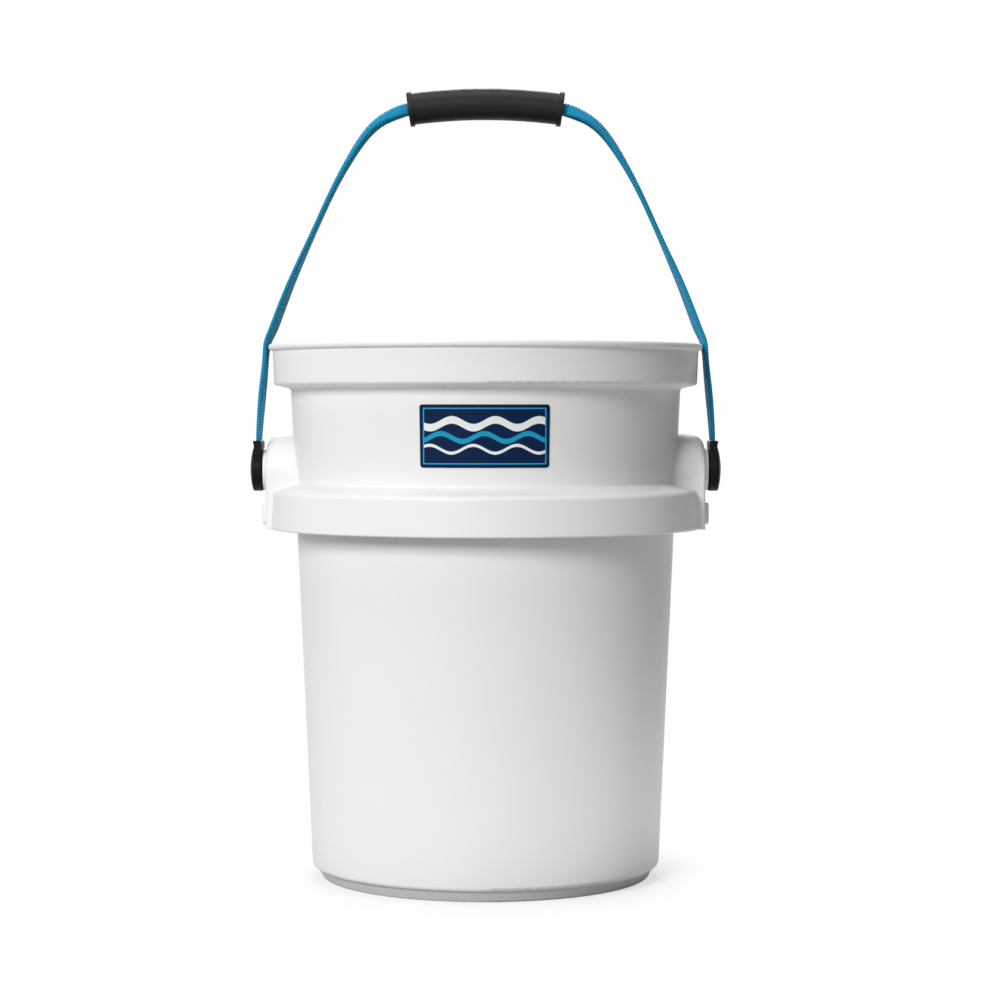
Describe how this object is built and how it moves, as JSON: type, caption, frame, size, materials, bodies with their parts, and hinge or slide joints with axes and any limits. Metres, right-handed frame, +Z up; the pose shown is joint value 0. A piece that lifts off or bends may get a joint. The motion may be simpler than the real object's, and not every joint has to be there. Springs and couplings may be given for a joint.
{
  "type": "bucket",
  "caption": "Round tapered utility bucket with a flanged rim, a skirt collar, a rubber foot ring and a swinging webbing handle with a tube grip.",
  "frame": {"origin": "on the floor under the centre of the tub", "axes": "+Z up along the tub's axis, +X along the handle's pivot axis, the label faces -Y"},
  "size_m": [0.3346, 0.308, 0.5592],
  "materials": {
    "white_polyethylene": "smooth moulded, satin",
    "grey_rubber": "matt",
    "label_print": "printed film",
    "blue_webbing": "woven polyester",
    "black_rubber": "satin",
    "black_nylon": "fine moulded grain",
    "steel": "turned",
    "spring_steel": "stamped",
    "acetal": "moulded"
  },
  "bodies": {
    "bucket": {"tub": "white_polyethylene", "foot_ring": "grey_rubber", "front_label": "label_print", "left_pivot_bush": "acetal", "right_pivot_bush": "acetal"},
    "handle": {"webbing_strap": "blue_webbing", "grip": "black_rubber", "left_strap_end": "black_nylon", "left_pivot_pin": "steel", "left_pin_washer": "steel", "left_retaining_clip": "spring_steel", "right_strap_end": "black_nylon", "right_pivot_pin": "steel", "right_pin_washer": "steel", "right_retaining_clip": "spring_steel"}
  },
  "joints": [
    {"name": "handle_swing", "type": "hinge", "parent": "bucket", "child": "handle", "pos_m": [0, 0, 0.2893], "axis": [1, 0, 0], "range_deg": [-140, 140]}
  ]
}
